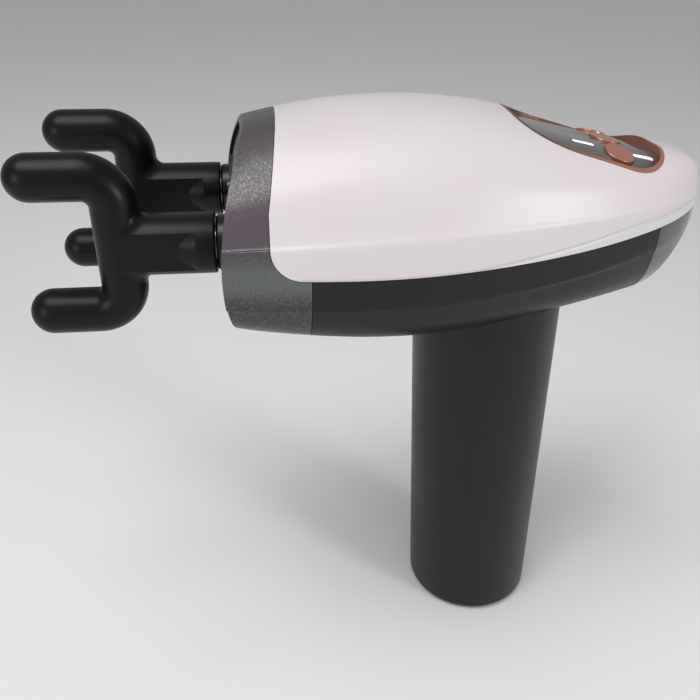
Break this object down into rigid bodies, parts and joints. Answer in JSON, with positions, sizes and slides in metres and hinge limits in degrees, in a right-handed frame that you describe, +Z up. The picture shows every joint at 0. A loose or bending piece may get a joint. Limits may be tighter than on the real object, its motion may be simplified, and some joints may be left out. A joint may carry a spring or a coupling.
{
  "type": "massage gun",
  "caption": "Hand-held massage gun: egg-shaped body on a round handle, a pair of U-shaped striking heads side by side, sloping control panel on the back.",
  "frame": {"origin": "centre of the flat base of the handle", "axes": "+Z up along the handle, heads strike towards -X, +Y is the right-hand side"},
  "size_m": [0.21, 0.0812, 0.2],
  "materials": {
    "pearl_white": "satin pearl",
    "gunmetal": "metallic flake lacquer",
    "dark_shell": "satin",
    "dark_gloss": "gloss",
    "rose_gold": "satin metallic",
    "smoked_panel": "gloss",
    "light_pipe": "frosted",
    "head_black": "soft sheen",
    "black_rubber": "matte",
    "steel": "machined",
    "dark_steel": "black oxide",
    "alloy": "die cast",
    "black_alloy": "black anodised",
    "bronze": "sintered",
    "copper": "enamelled wire",
    "magnet": "nickel plated",
    "board_green": "solder mask",
    "chip_black": "moulded",
    "cell_wrap": "shrink sleeve",
    "frame_grey": "glass filled"
  },
  "bodies": {
    "housing": {"top_cover": "pearl_white", "front_bezel": "gunmetal", "front_plate": "dark_shell", "lower_shell": "dark_shell", "rear_cover": "dark_gloss", "handle_shell": "dark_shell", "base_cap": "dark_shell", "control_panel": "smoked_panel", "panel_rim": "rose_gold", "speed_indicator": "light_pipe", "battery_indicator": "light_pipe", "control_board": "board_green", "tact_switches": "chip_black", "board_screws": "steel", "charge_socket": "chip_black", "base_screws": "dark_steel", "battery_cells": "cell_wrap", "battery_holders": "frame_grey", "drive_board": "board_green", "board_parts": "chip_black", "drive_frame": "frame_grey", "frame_screws": "steel", "plate_screws": "dark_steel", "guide_bushing_left": "bronze", "guide_bushing_right": "bronze", "plunger_seal_left": "black_rubber", "plunger_seal_right": "black_rubber", "motor_stator": "dark_steel", "stator_coils": "copper", "motor_base": "alloy", "motor_bearings": "steel", "motor_screws": "dark_steel"},
    "rotor": {"crank_disc": "steel", "motor_shaft": "steel", "rotor_bell": "dark_steel", "rotor_magnets": "magnet"},
    "yoke_slide": {"yoke": "alloy", "plunger_left": "black_alloy", "plunger_right": "black_alloy", "plunger_nuts": "steel", "wrist_pin": "steel", "con_rod": "alloy", "small_end_bush": "bronze", "crank_bearing": "steel", "crank_pin": "steel"},
    "head_left": {"head_left": "head_black", "head_plug_left": "steel", "head_ring_left": "black_rubber"},
    "head_right": {"head_right": "head_black", "head_plug_right": "steel", "head_ring_right": "black_rubber"},
    "button_minus": {"button_minus": "rose_gold"},
    "button_power": {"button_power": "rose_gold"},
    "button_plus": {"button_plus": "rose_gold"}
  },
  "joints": [
    {"name": "motor_turn", "type": "hinge", "parent": "housing", "child": "rotor", "pos_m": [0.002, 0, 0.1654], "axis": [0, 0, 1], "range_deg": [0, 180]},
    {"name": "yoke_stroke", "type": "slide", "parent": "housing", "child": "yoke_slide", "axis": [-1, 0, 0], "range_m": [0, 0.012]},
    {"name": "head_left_pull", "type": "slide", "parent": "yoke_slide", "child": "head_left", "axis": [-1, 0, 0], "range_m": [0, 0.02]},
    {"name": "head_right_pull", "type": "slide", "parent": "yoke_slide", "child": "head_right", "axis": [-1, 0, 0], "range_m": [0, 0.02]},
    {"name": "button_minus_press", "type": "slide", "parent": "housing", "child": "button_minus", "axis": [-0.2319, 0.2795, -0.9317], "range_m": [0, 0.0006], "stiffness_N_per_m": 900, "springref_m": -0.0004},
    {"name": "button_power_press", "type": "slide", "parent": "housing", "child": "button_power", "axis": [-0.2167, 0, -0.9762], "range_m": [0, 0.0006], "stiffness_N_per_m": 900, "springref_m": -0.0004},
    {"name": "button_plus_press", "type": "slide", "parent": "housing", "child": "button_plus", "axis": [-0.2319, -0.2795, -0.9317], "range_m": [0, 0.0006], "stiffness_N_per_m": 900, "springref_m": -0.0004}
  ],
  "couplings": [
    {"joint": "motor_turn", "follows": "yoke_stroke", "rad_per_m": 261.8}
  ]
}
